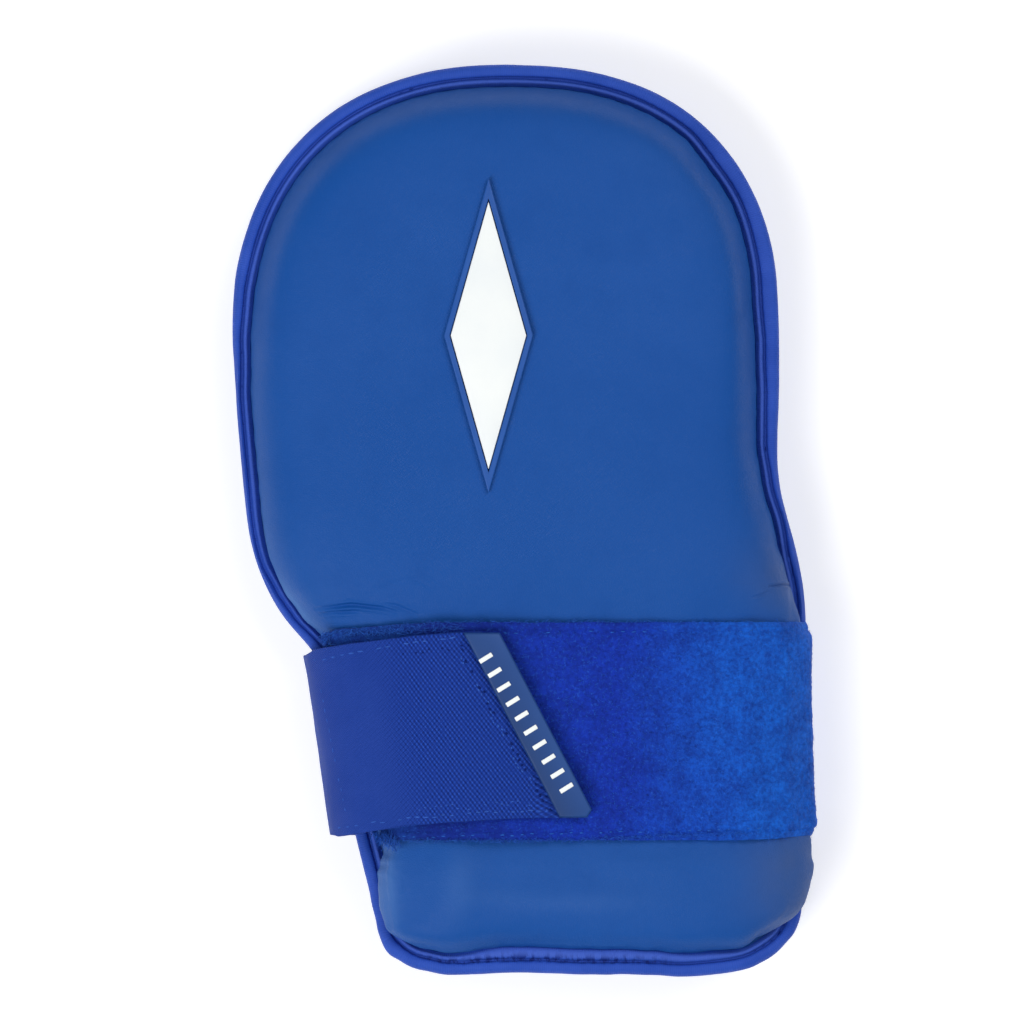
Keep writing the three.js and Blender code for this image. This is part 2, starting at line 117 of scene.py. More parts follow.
def meshFrom(bm, name):
    mesh = bpy.data.meshes.new(name)
    bm.to_mesh(mesh)
    bm.free()
    return mesh


def finished(bm, name, look, nodeName=None, sharp=None):  # a visible piece, in place of a node if one is named
    for face in bm.faces:
        face.smooth = True
    mesh = meshFrom(bm, name)
    if sharp:
        mesh.set_sharp_from_angle(angle=math.radians(sharp))
    piece = bpy.data.objects.new(name, mesh)
    bpy.context.scene.collection.objects.link(piece)
    mesh.materials.append(look)
    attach(piece, "root")
    if nodeName:
        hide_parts(nodeName)
    return piece


def loopFrom(bm, place, heading):  # a closed loop of edges through the vertex nearest to place
    vert = min(bm.verts, key=lambda v: (v.co - place).length_squared)
    edge = max(vert.link_edges, key=lambda e: (e.other_vert(vert).co - vert.co).normalized().dot(heading))
    found = [vert]
    while True:
        vert = edge.other_vert(vert)
        if vert is found[0] or len(found) > 400:
            return [v.co.copy() for v in found]
        found.append(vert)
        faces = set(edge.link_faces)
        ahead = [e for e in vert.link_edges if not faces & set(e.link_faces)]
        if not ahead:
            raise ValueError("the loop runs into a pole")
        edge = ahead[0]


def softenEdges(bm, angle, offset, segments):  # bevels the edges sharper than an angle in degrees, by mm
    sharp = [e for e in bm.edges if len(e.link_faces) == 2 and e.calc_face_angle(0) > math.radians(angle)]
    bmesh.ops.bevel(bm, geom=sharp, offset=offset * mm, segments=segments, affect="EDGES", profile=0.5, material=-1)


def spaced(points, pitch, closed=False):  # even steps along a smooth curve through points
    knots = points + points[:1] if closed else points
    fine = []
    last = len(knots) - 1
    for k in range(last):
        before = knots[(k - 1) % last] if closed else knots[max(k - 1, 0)]
        after = knots[(k + 2) % last] if closed else knots[min(k + 2, last)]
        a, b = knots[k], knots[k + 1]
        for j in range(8):
            t = j / 8
            fine.append(0.5 * (2 * a + (b - before) * t + (2 * before - 5 * a + 4 * b - after) * t * t
                               + (3 * a - before - 3 * b + after) * t ** 3))
    fine.append(knots[-1].copy())
    lengths = [0.0]
    for a, b in zip(fine, fine[1:]):
        lengths.append(lengths[-1] + (b - a).length)
    count = max(round(lengths[-1] / pitch), 1)
    steps = []
    k = 0
    for n in range(count + (0 if closed else 1)):
        want = lengths[-1] * n / count
        while k < len(lengths) - 2 and lengths[k + 1] < want:
            k += 1
        share = (want - lengths[k]) / max(lengths[k + 1] - lengths[k], 1e-9)
        steps.append((fine[k].lerp(fine[k + 1], share), (fine[k + 1] - fine[k]).normalized(), want))
    return steps


def placed(bm, template, place, forward, up, scale=(1, 1, 1)):  # adds a small mesh, turned to forward and up
    side = up.cross(forward).normalized()
    top = forward.cross(side)
    turn = Matrix((forward, side, top)).transposed().to_4x4()
    move = Matrix.Translation(place) @ turn @ Matrix.Diagonal((*scale, 1.0))
    template.transform(move)
    bm.from_mesh(template)
    template.transform(move.inverted())


def bead(length, radius):  # one stitch: a stretched ball
    bm = bmesh.new()
    bmesh.ops.create_uvsphere(bm, u_segments=8, v_segments=6, radius=1.0)
    bmesh.ops.transform(bm, matrix=Matrix.Rotation(math.pi / 2, 4, "Y"), verts=bm.verts)
    bmesh.ops.scale(bm, vec=(length / 2, radius, radius * 0.8), verts=bm.verts)
    return meshFrom(bm, "stitch")


def smoothStep(low, high, value):
    t = min(max((value - low) / (high - low), 0.0), 1.0)
    return t * t * (3 - 2 * t)


def along(rows, value):  # a value between the rows of a short table
    if value <= rows[0][0] or value >= rows[-1][0]:
        return rows[0][1] if value <= rows[0][0] else rows[-1][1]
    for (a, low), (b, high) in zip(rows, rows[1:]):
        if value <= b:
            return low + (high - low) * smoothStep(a, b, value)


def surfaceOf(mesh):
    bm = bmesh.new()
    bm.from_mesh(mesh)
    tree = BVHTree.FromBMesh(bm)
    bm.free()
    return tree


def onTop(tree, flat):  # the surface above a flat place, and its normal
    hit = tree.ray_cast(Vector((flat.x, flat.y, 0.2)), Vector((0, 0, -1)))
    return hit[0], hit[1]


def pixel(place):  # where a place on the mitt lies in the photograph
    k = picture["mmPerPixel"] * mm
    return picture["leftEdge"] + (place.x - bindingLow.x) / k, picture["topEdge"] + (bindingHigh.y - place.y) / k


# How the wrist end moves from its drawn place: place across or down the photograph, shift in mm
wrist = {
    "rise": [(381, 0), (400, 1.3), (425, 1.3), (450, 0.5), (500, 0.55), (570, 0.3), (600, 0.6), (625, 1.1),
             (650, 0.95), (680, 0.5), (735, 0.9), (757, 0.8), (778, 0)],
    "right": [(850, 0), (885, 1.0), (915, 1.2), (930, 0.9), (945, 0.1), (958, -0.2), (975, 0)],
    "left": [(900, 0), (925, 0.9), (940, 1.2), (965, 0.6), (978, 0.4)],
    "roll": [(450, 0), (505, 1.7), (600, 1.5), (650, 1.2), (710, 0.6), (740, 0)],
}

# How far the back binding's ditch stands off its drawn place: place down the photograph, shift outwards in mm
turnedOver = {
    "left": [(230, 0), (260, 0.1), (300, 0.6), (350, 1.2), (400, 2.0), (480, 2.1), (560, 2.2), (590, 1.5),
             (612, 0.8), (640, 0)],
    "right": [(130, 0), (160, -1.1), (200, -0.7), (260, -1.0), (300, -1.2), (350, -0.5), (400, 0), (440, 0.2),
              (480, 1.3), (520, 2.1), (560, 1.1), (590, 1.4), (612, 1.4), (624, 1.0), (636, 0)],
}


def inwardAt(place, forward):  # the way from a point of the ditch to the middle of the hand
    inward = forward.cross(Vector((0, 0, 1)))
    if inward.dot(Vector((0, place.y * 0.3, 0)) - place) < 0:
        inward.negate()
    return inward


def turnedAt(place, side):  # how far a point of the back binding turns over, by its distance from the ditch
    px, py = pixel(place)
    return along(turnedOver["right" if px > 520 else "left"], py) * smoothStep(-3.4, -0.6, side) * mm


def ditchAt(place):  # how much of the ditch shows
    px, py = pixel(place)
    return along(binding["ditchShown"], py) if px < 520 and py < 660 else 1.0


def widened(place):  # how far the inner roll widens along the wrist
    px, py = pixel(place)
    return along(wrist["roll"], px) * smoothStep(915, 945, py) * mm


def eased(place):  # the wrist end's shift
    px, py = pixel(place)
    sideways = along(wrist["right"], py) * smoothStep(700, 780, px)
    sideways += along(wrist["left"], py) * (1 - smoothStep(385, 440, px))
    return Vector((sideways, along(wrist["rise"], px) * smoothStep(920, 958, py), 0)) * mm


# Small helpers for materials

def material(name, **sockets):
    made = bpy.data.materials.new(name)
    made.use_nodes = True
    shader = made.node_tree.nodes["Principled BSDF"]
    for key, value in sockets.items():
        shader.inputs[key.replace("_", " ")].default_value = value
    return made, made.node_tree, shader


def node(tree, kind, options=None, **sockets):
    made = tree.nodes.new("ShaderNode" + kind)
    for key, value in (options or {}).items():
        setattr(made, key, value)
    for key, value in sockets.items():
        socket = made.inputs[key.replace("_", " ")] if not key.startswith("n") else made.inputs[int(key[1:])]
        if hasattr(value, "is_output"):
            tree.links.new(value, socket)
        else:
            socket.default_value = value
    return made


def objectCoordinates(tree):
    return node(tree, "TexCoord").outputs["Object"]


def noiseOf(tree, coordinates, scale, detail=3.0, roughness=0.55):
    return node(tree, "TexNoise", Vector=coordinates, Scale=scale, Detail=detail, Roughness=roughness).outputs["Fac"]


def attribute(tree, name):
    return node(tree, "Attribute", {"attribute_name": name}).outputs["Fac"]


def mixed(tree, factor, a, b):
    return node(tree, "Mix", {"data_type": "RGBA"}, n0=factor, n6=a, n7=b).outputs[2]


def ranged(tree, value, low, high, toLow=0.0, toHigh=1.0):
    made = node(tree, "MapRange", Value=value, From_Min=low, From_Max=high, To_Min=toLow, To_Max=toHigh)
    return made.outputs["Result"]


def maths(tree, operation, a, b=0.0):
    return node(tree, "Math", {"operation": operation}, n0=a, n1=b).outputs[0]


def times(tree, a, b):
    return maths(tree, "MULTIPLY", a, b)


def wave(tree, value, length):
    return maths(tree, "SINE", times(tree, value, 2 * math.pi / length))


def bumped(tree, height, distance, strength=1.0, under=None):
    made = node(tree, "Bump", Height=height, Distance=distance, Strength=strength)
    if under:
        tree.links.new(under, made.inputs["Normal"])
    return made.outputs["Normal"]


def rgb(r, g, b):
    return (r, g, b, 1.0)


def darker(colour, share):
    return rgb(*(c * share for c in colour[:3]))


# Leather

# The grey colour is a painted sheen and the pale colour a painted highlight
leatherLook = {
    "colour": rgb(0.005, 0.0735, 0.331), "worn": rgb(0.008, 0.080, 0.347), "deep": rgb(0.004, 0.054, 0.262),
    "rubbed": rgb(0.038, 0.088, 0.268), "pale": rgb(0.062, 0.165, 0.45),
    "grainPerMetre": 1500.0, "grainDepth": 0.00008, "wrinkleDepth": 0.00022, "roughness": 0.46,
}


def leatherMaterial():
    look = leatherLook
    made, tree, shader = material("leather", Specular_IOR_Level=0.14)
    at = objectCoordinates(tree)
    cloud = noiseOf(tree, at, 22.0, 2.0)
    patch = noiseOf(tree, at, 95.0, 4.0, 0.6)
    cells = node(tree, "TexVoronoi", {"feature": "DISTANCE_TO_EDGE"}, Vector=at, Scale=look["grainPerMetre"])
    grain = ranged(tree, cells.outputs["Distance"], 0.0, 0.22)
    wrinkle = noiseOf(tree, at, 420.0, 5.0, 0.65)
    colour = mixed(tree, ranged(tree, cloud, 0.35, 0.7), look["colour"], look["worn"])
    colour = mixed(tree, ranged(tree, patch, 0.52, 0.78, 0.0, 0.2), colour, look["deep"])
    colour = mixed(tree, ranged(tree, grain, 0.0, 1.0, 0.15, 0.0), colour, look["deep"])
    # a painted grey sheen, then painted highlights, laid over the leather's own colour
    rubbed = attribute(tree, "rubbed")
    colour = mixed(tree, times(tree, rubbed, ranged(tree, patch, 0.3, 0.7, 0.7, 1.0)), colour, look["rubbed"])
    colour = mixed(tree, attribute(tree, "pale"), colour, look["pale"])
    tree.links.new(colour, shader.inputs["Base Color"])
    dullness = ranged(tree, patch, 0.3, 0.7, look["roughness"] - 0.05, look["roughness"] + 0.07)
    tree.links.new(dullness, shader.inputs["Roughness"])
    broad = bumped(tree, wrinkle, look["wrinkleDepth"], 0.6)
    tree.links.new(bumped(tree, grain, look["grainDepth"], 0.55, broad), shader.inputs["Normal"])
    return made


# Woven binding tape

# inner is a painted highlight on the tape's inner roll
tapeLook = {
    "colour": rgb(0.016, 0.069, 0.43), "light": rgb(0.027, 0.09, 0.505), "dark": rgb(0.003, 0.016, 0.17),
    "inner": rgb(0.042, 0.105, 0.51), "ribs": 0.00062, "nicks": 620.0,
}


def tapeMaterial():
    look = tapeLook
    made, tree, shader = material("binding_tape", Roughness=0.6, Sheen_Weight=0.08, Sheen_Roughness=0.3,
                                  Specular_IOR_Level=0.2)
    shader.inputs["Sheen Tint"].default_value = rgb(0.35, 0.5, 1.0)
    at = objectCoordinates(tree)
    runAt = attribute(tree, "along")
    wobble = times(tree, noiseOf(tree, at, 120.0, 2.0), 0.0012)
    rib = wave(tree, maths(tree, "ADD", runAt, wobble), look["ribs"])
    knit = noiseOf(tree, at, 2600.0, 2.0)
    cloud = noiseOf(tree, at, 70.0, 3.0)
    colour = mixed(tree, ranged(tree, cloud, 0.35, 0.72), look["colour"], look["light"])
    colour = mixed(tree, ranged(tree, rib, -1.0, 0.2, 0.12, 0.0), colour, look["dark"])
    shade = attribute(tree, "shade")
    # a painted highlight on the inner roll, and shade is painted shade in the ditch and beside the leather
    lift = attribute(tree, "lift")
    colour = mixed(tree, lift, colour, look["inner"])
    colour = mixed(tree, shade, colour, look["dark"])
    gathers = attribute(tree, "gather")
    acrossAt = attribute(tree, "across")
    sewnAt = node(tree, "CombineXYZ", X=times(tree, runAt, look["nicks"]), Y=times(tree, acrossAt, 0.7))
    # puckers in the gathered ditch: bumps, darkened with painted shade
    nicks = ranged(tree, noiseOf(tree, sewnAt.outputs["Vector"], 1.0, 3.0, 0.6), 0.46, 0.58)
    nicks = times(tree, nicks, gathers)
    colour = mixed(tree, nicks, colour, look["dark"])
    tree.links.new(colour, shader.inputs["Base Color"])
    ribs = bumped(tree, maths(tree, "SUBTRACT", rib, times(tree, nicks, 4.0)), 0.00007, 0.5)
    tree.links.new(bumped(tree, knit, 0.00012, 0.5, ribs), shader.inputs["Normal"])
    return made


def threadMaterial(name, colour):
    made, tree, shader = material(name, Roughness=0.7, Specular_IOR_Level=0.08)
    at = objectCoordinates(tree)
    tone = mixed(tree, ranged(tree, noiseOf(tree, at, 900.0, 2.0), 0.3, 0.7), darker(colour, 0.7), colour)
    tree.links.new(tone, shader.inputs["Base Color"])
    return made


# Loop pile and its ground cloth

pileLook = {
    "colour": rgb(0.0062, 0.038, 0.455), "light": rgb(0.035, 0.18, 0.80), "deep": rgb(0.003, 0.013, 0.19),
    # colours that come in across the mitt, each between two places on x in metres
    "teal": rgb(0.007, 0.128, 0.66), "tealFrom": 0.040, "tealTo": 0.088,
    "shaded": rgb(0.005, 0.024, 0.25), "shadedFrom": -0.014, "shadedTo": 0.022,
    "faded": rgb(0.008, 0.062, 0.33), "fadedFrom": -0.012, "fadedTo": -0.028,
}


def pileMaterial(name, fibre):
    look = pileLook
    made, tree, shader = material(name, Roughness=0.8, Sheen_Weight=0.1, Sheen_Roughness=0.5,
                                  Specular_IOR_Level=0.15)
    shader.inputs["Sheen Tint"].default_value = rgb(0.2, 0.4, 1.0)
    at = objectCoordinates(tree)
    tufts = noiseOf(tree, at, 1150.0, 3.0, 0.7)
    patches = noiseOf(tree, at, 150.0, 4.0, 0.65)
    x = node(tree, "SeparateXYZ", Vector=at).outputs["X"]
    lit = maths(tree, "ADD", x, times(tree, noiseOf(tree, at, 30.0, 2.0), 0.03))
    base = mixed(tree, ranged(tree, lit, look["tealFrom"], look["tealTo"]), look["colour"], look["teal"])
    base = mixed(tree, ranged(tree, lit, look["shadedFrom"], look["shadedTo"]), look["shaded"], base)
    base = mixed(tree, ranged(tree, lit, look["fadedFrom"], look["fadedTo"]), base, look["faded"])
    curls = noiseOf(tree, at, 760.0, 3.0, 0.65)
    colour = mixed(tree, ranged(tree, patches, 0.35, 0.6, 0.42, 0.0), base, look["deep"])
    colour = mixed(tree, ranged(tree, curls, 0.4, 0.58, 0.4, 0.0), colour, look["deep"])
    colour = mixed(tree, ranged(tree, tufts, 0.56, 0.76, 0.0, 0.45), colour, look["light"])
    if fibre:
        tint = attribute(tree, "tint")
        colour = mixed(tree, tint, colour, look["light"])
    tree.links.new(colour, shader.inputs["Base Color"])
    if not fibre:
        tree.links.new(bumped(tree, tufts, 0.0009, 0.8), shader.inputs["Normal"])
    return made


# Strap webbing: twill towards the pull tab, worn smooth at the fold

webbingLook = {
    "colour": rgb(0.0036, 0.031, 0.26), "light": rgb(0.019, 0.084, 0.50), "deep": rgb(0.002, 0.012, 0.12),
    "worn": rgb(0.015, 0.053, 0.33), "twill": 0.00105, "weave": 0.0008,
}


def webbingMaterial():
    look = webbingLook
    made, tree, shader = material("strap_webbing", Roughness=0.62, Sheen_Weight=0.04, Sheen_Roughness=0.4,
                                  Specular_IOR_Level=0.12)
    shader.inputs["Sheen Tint"].default_value = rgb(0.3, 0.45, 1.0)
    at = objectCoordinates(tree)
    runAt = attribute(tree, "along")
    acrossAt = attribute(tree, "across")
    smooth = attribute(tree, "smooth")
    drift = times(tree, noiseOf(tree, at, 140.0, 2.0), 0.0005)
    slant = maths(tree, "SUBTRACT", times(tree, acrossAt, 0.62), times(tree, runAt, 0.8))
    broken = ranged(tree, noiseOf(tree, at, 700.0, 2.0), 0.3, 0.65, 0.25, 1.0)
    twill = times(tree, wave(tree, maths(tree, "ADD", slant, drift), look["twill"]), broken)
    cross = times(tree, wave(tree, acrossAt, look["weave"]), wave(tree, runAt, look["weave"]))
    height = node(tree, "Mix", {"data_type": "FLOAT"}, n0=smooth, n2=twill, n3=cross).outputs[0]
    counter = maths(tree, "ADD", times(tree, acrossAt, 0.62), times(tree, runAt, 0.8))
    counter = times(tree, wave(tree, counter, look["twill"]), broken)
    height = maths(tree, "ADD", height, maths(tree, "ADD", times(tree, cross, 0.35), times(tree, counter, 0.52)))
    cloud = noiseOf(tree, at, 55.0, 3.0)
    wear = times(tree, smooth, ranged(tree, cloud, 0.3, 0.6, 0.6, 1.0))
    colour = mixed(tree, wear, look["colour"], look["worn"])
    shown = maths(tree, "SUBTRACT", 0.95, times(tree, smooth, 0.87))
    colour = mixed(tree, times(tree, ranged(tree, height, 0.1, 1.3), shown), colour, look["light"])
    colour = mixed(tree, times(tree, ranged(tree, height, 0.0, -1.3), shown), colour, look["deep"])
    tree.links.new(colour, shader.inputs["Base Color"])
    tree.links.new(bumped(tree, height, 0.00016, 0.6), shader.inputs["Normal"])
    return made


def rubberMaterial(name, colour, worn, roughness):
    made, tree, shader = material(name, Specular_IOR_Level=0.25)
    at = objectCoordinates(tree)
    tone = mixed(tree, ranged(tree, noiseOf(tree, at, 45.0, 4.0), 0.35, 0.7), colour, worn)
    shade = attribute(tree, "shade")
    tone = mixed(tree, times(tree, shade, 0.6), tone, darker(colour, 0.45))
    tree.links.new(tone, shader.inputs["Base Color"])
    dullness = ranged(tree, noiseOf(tree, at, 160.0, 3.0), 0.3, 0.7, roughness - 0.06, roughness + 0.08)
    tree.links.new(dullness, shader.inputs["Roughness"])
    tree.links.new(bumped(tree, noiseOf(tree, at, 1900.0, 3.0), 0.00005, 0.5), shader.inputs["Normal"])
    return made


leather = leatherMaterial()
tape = tapeMaterial()
tapeThread = threadMaterial("binding_thread", rgb(0.004, 0.019, 0.17))
strapThread = threadMaterial("strap_thread", rgb(0.035, 0.115, 0.52))
darkThread = threadMaterial("dark_thread", rgb(0.004, 0.018, 0.16))
bandThread = threadMaterial("band_thread", rgb(0.025, 0.13, 0.56))
groundCloth = pileMaterial("pile_ground", False)
fibres = pileMaterial("pile_fibre", True)
webbing = webbingMaterial()
tabRubber = rubberMaterial("tab_rubber", rgb(0.014, 0.063, 0.243), rgb(0.018, 0.073, 0.27), 0.5)
blueRubber = rubberMaterial("emblem_blue", rgb(0.012, 0.08, 0.34), rgb(0.018, 0.095, 0.38), 0.42)
whiteRubber = rubberMaterial("emblem_white", rgb(0.90, 0.93, 0.92), rgb(0.85, 0.89, 0.9), 0.5)
print("materials made")

# Bound edges: two soft rolls with a sewn ditch between them

binding = {
    # the drawn ditch in mm: in from the tip's edge, and off the seam between the pads
    "ditchIn": 3.84, "ditchUp": 3.76, "seamUp": 23.0,
    "start": (335, 740),  # the stitches begin here, under the strap
    "grooveDepth": 0.3, "grooveWidth": 0.34, "liningSink": 0.3, "cordRise": 0.3, "crimp": 0.06,
    "stitchPitch": 3.3, "stitchLength": 2.4, "stitchRadius": 0.24, "stitchSink": (-0.6, -0.48),
    "gathers": (425, 665), "gatherSway": 0.4,
    # how much of the ditch shows down the left side
    "ditchShown": [(380, 1), (440, 0.8), (520, 0.6), (565, 0.3), (660, 0.3)],
}
tracks = {}


def trackOf(steps):
    tree = KDTree(len(steps))
    for k, step in enumerate(steps):
        tree.insert(step[0], k)
    tree.balance()
    return tree


def boundEdge(nodeName, face, levels):
    b = binding
    bm = copyOf(nodeName)
    tip = Vector(((bindingLow.x + bindingHigh.x) / 2, bindingHigh.y - b["ditchIn"] * mm,
                  (b["seamUp"] + face * b["ditchUp"]) * mm))
    ditch = loopFrom(bm, tip, Vector((1, 0, 0)))
    hidden = min(range(len(ditch)), key=lambda k: (ditch[k].xy - spot(*b["start"]).xy).length)
    ditch = ditch[hidden:] + ditch[:hidden]
    subdivided(bm, levels, 4)
    steps = spaced(ditch, 0.0012, closed=True)
    tree = trackOf(steps)
    tracks[nodeName] = (tree, steps)
    run = bm.verts.layers.float.new("along")
    shade = bm.verts.layers.float.new("shade")
    lift = bm.verts.layers.float.new("lift")
    across = bm.verts.layers.float.new("across")
    gather = bm.verts.layers.float.new("gather")
    left, right = (spot(p, 0).x for p in b["gathers"])
    for v in bm.verts:
        place, forward, travelled = steps[tree.find(v.co)[1]]
        v[run] = travelled + (v.co - place).dot(forward)
        inward = inwardAt(place, forward)
        side = (v.co - place).dot(inward) / mm
        facing = smoothStep(0.0, 0.5, v.normal.z * face)
        gathered = facing * smoothStep(left - 6 * mm, left + 6 * mm, v.co.x)
        gathered *= 1 - smoothStep(right - 6 * mm, right + 6 * mm, v.co.x)
        gathered *= smoothStep(100 * mm, 120 * mm, -v.co.y)
        v[across] = side
        v[gather] = gathered * math.exp(-((side - 0.2) / 0.75) ** 2)
        sway = side - b["gatherSway"] * gathered * noise.noise(Vector((v[run] * 420, 0.3, 0)))
        shown = ditchAt(place)
        groove = shown * facing * math.exp(-((sway / b["grooveWidth"]) ** 2))
        cord = shown * facing * math.exp(-(((side - 1.25) / 0.55) ** 2))
        crimp = b["crimp"] * math.sin(v[run] / mm * 2 * math.pi / b["stitchPitch"]) * math.exp(-((side / 1.6) ** 2))
        slack = 0.2 * noise.noise(v.co * 38) + 0.07 * noise.noise(v.co * 160)
        if v.normal.z * face < -0.3 and (v.co.z / mm - b["seamUp"]) * face > 2.4:  # the fold's inner side
            v.co.z -= face * b["liningSink"] * mm
        else:
            v.co += v.normal * (crimp + slack + b["cordRise"] * cord - b["grooveDepth"] * groove) * mm
        v.co += eased(v.co)
        v.co.y += widened(v.co) * smoothStep(0.2, 1.9, side)
        if face > 0:
            v.co -= inward * turnedAt(place, side)
        v[shade] = 0.42 * groove + 0.3 * facing * smoothStep(2.0, 2.6, side)
        # painted highlight that lightens the inner roll
        v[lift] = (0.5 + 0.5 * shown) * facing * smoothStep(0.35, 0.9, side) * (1 - smoothStep(1.75, 2.05, side))
    finished(bm, nodeName + "_tape", tape, nodeName)
    sewn = bmesh.new()
    stitch = bead(b["stitchLength"] * mm, b["stitchRadius"] * mm)
    for place, forward, travelled in spaced(ditch, b["stitchPitch"] * mm, closed=True):
        sway = Vector((dice.uniform(-0.1, 0.1), dice.uniform(-0.1, 0.1), face * dice.uniform(*b["stitchSink"]))) * mm
        sway += eased(place)
        if face > 0:
            sway -= inwardAt(place, forward) * turnedAt(place, 0)
        placed(sewn, stitch, place + sway, forward, Vector((0, 0, face)))
    finished(sewn, nodeName + "_stitches", tapeThread)


boundEdge("back_binding", 1, 3)
boundEdge("palm_binding", -1, 2)
print("bound edges made")

# Padded leather

padding = {
    "rim": 4.2, "smoothings": 26, "pucker": 0.07, "puckerPitch": 7.3, "soft": 0.35, "fine": 0.1, "sink": 0.35,
    "backOver": 30.0,  # the back's face lies higher than this, in mm
}
# Creases: points in the photograph, depth and half width in mm
creases = [
    {"points": [(322, 613), (334, 611), (348, 611), (362, 610)], "depth": 0.5, "width": 0.45},
    {"points": [(318, 607), (334, 606), (352, 604), (370, 606), (386, 608), (400, 612)], "depth": 0.75, "width": 0.5},
    {"points": [(382, 604), (396, 605), (408, 610), (421, 615)], "depth": 0.4, "width": 0.5},
    {"points": [(372, 592), (398, 582), (424, 578), (446, 580)], "depth": 0.16, "width": 1.0},
    {"points": [(410, 578), (420, 581), (432, 588)], "depth": 0.14, "width": 0.5},
    {"points": [(789, 587), (778, 585), (766, 586)], "depth": 0.55, "width": 0.32},
    {"points": [(769, 590), (759, 595), (750, 597)], "depth": 0.32, "width": 0.35},
    {"points": [(386, 868), (398, 876), (404, 892)], "depth": 0.3, "width": 0.9},
]
# How far the back pad's edge stands off the drawn one: place down the photograph, shift to the right in mm
rightEdge = [(545, 0), (560, 0.8), (590, 0.6), (612, 0.9), (622, 0.9), (630, 0), (820, 0), (838, 2.9), (850, 3.4),
             (870, 2.6), (885, 1.9), (900, 1.3), (915, 0.6), (930, 0)]
leftEdge = [(540, 0), (560, -0.3), (590, -0.7), (612, -0.4), (640, 0), (800, 0), (836, 3.2), (850, 3.2), (862, 1.6),
            (874, 0), (890, -1.0), (910, -1.6), (932, -1.5), (944, -0.8), (956, 0)]
# The right corner of the cuff is drawn in round a middle: place, pull in mm
cuffCorner = {"at": (735, 893), "pull": 3.4}
# Where a painted grey sheen lies on the leather near its edges: place, reach in pixels, strength
paintedSheenSpots = [
    {"at": (784, 580), "reach": (42, 39), "strength": 0.8},
    {"at": (800, 880), "reach": (50, 70), "strength": 1.15},
    {"at": (376, 885), "reach": (12, 40), "strength": 0.4},
    {"at": (520, 80), "reach": (150, 30), "strength": 0.22},
]
# Where painted highlights lighten the leather: place, reach in pixels, strength
paintedHighlightSpots = [
    {"at": (262, 570), "reach": (30, 60), "strength": 0.10},
    {"at": (305, 612), "reach": (26, 22), "strength": 0.14},
    {"at": (388, 885), "reach": (14, 34), "strength": 0.32},
    {"at": (459, 880), "reach": (15, 30), "strength": 0.22},
    {"at": (500, 895), "reach": (34, 9), "strength": 0.10},
    {"at": (585, 901), "reach": (56, 9), "strength": 0.12},
    {"at": (560, 870), "reach": (200, 60), "strength": 0.05},
]
# A painted highlight along the line where the leather turns down to the tape: place down the photograph, strength at
# its left side
rimLight = [(100, 0.08), (300, 0.1), (400, 0.18), (480, 0.3), (540, 0.5), (570, 0.6), (588, 0.95), (608, 0.9),
            (640, 0.3), (830, 0.4), (900, 0.35), (960, 0.15)]
# Soft hollows and swells on the back of the cuff and hand: place, reach in mm, rise in mm
dents = [
    {"at": (458, 882), "reach": (6, 13), "rise": 1.3},
    {"at": (565, 902), "reach": (28, 5), "rise": 1.0},
    {"at": (560, 872), "reach": (34, 6), "rise": -0.5},
    {"at": (415, 895), "reach": (8, 14), "rise": -0.5},
    {"at": (690, 870), "reach": (26, 16), "rise": -0.6},
    {"at": (330, 500), "reach": (16, 40), "rise": 0.7},
    {"at": (640, 300), "reach": (30, 60), "rise": -0.6},
    {"at": (480, 560), "reach": (50, 14), "rise": 0.6},
]


def creaseTracks():
    made = []
    for crease in creases:
        steps = spaced([spot(*p) for p in crease["points"]], 0.4 * mm)
        made.append((crease, trackOf(steps), steps))
    return made


def creaseRise(tracksMade, flat):  # a groove with a soft lip on both sides, fading to its ends
    rise = 0.0
    for crease, tree, steps in tracksMade:
        found = tree.find(flat)
        if found[2] > 6 * mm:
            continue
        share = found[1] / (len(steps) - 1)
        fade = math.sin(math.pi * min(max(share, 0.0), 1.0)) ** 0.6
        off = found[2] / mm / crease["width"]
        rise += crease["depth"] * fade * (-math.exp(-off * off) + 0.45 * math.exp(-((off - 1.9) / 1.1) ** 2))
    return rise


emblemLow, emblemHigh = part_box("emblem_rim")
emblemMiddle = (emblemLow + emblemHigh) / 2


def hump(spot, x, y):  # 1 at the spot's place, falling off over its reach
    return math.exp(-((x - spot["at"][0]) / spot["reach"][0]) ** 2 - ((y - spot["at"][1]) / spot["reach"][1]) ** 2)


def spotted(spots, px, py):
    return min(sum(each["strength"] * hump(each, px, py) for each in spots), 0.95)


def besideEmblem(place):  # 0 under the emblem, 1 well beside it
    wide, tall = (emblemHigh - emblemLow).xy
    off = place - emblemMiddle
    return smoothStep(0.5, 0.8, abs(off.x) / wide + abs(off.y) / tall)


def cornerPull(px, py, away):  # how the right corner of the cuff is drawn in
    turned = Vector((px - cuffCorner["at"][0], py - cuffCorner["at"][1]))
    if turned.x <= 0 or turned.y <= 0:
        return Vector((0, 0, 0))
    pull = cuffCorner["pull"] * (2 * turned.x * turned.y / turned.length_squared) ** 2
    pull *= smoothStep(1.6, 3.6, away) * (1 - smoothStep(5, 20, away))
    return Vector((-turned.x, turned.y, 0)) / turned.length * pull * mm


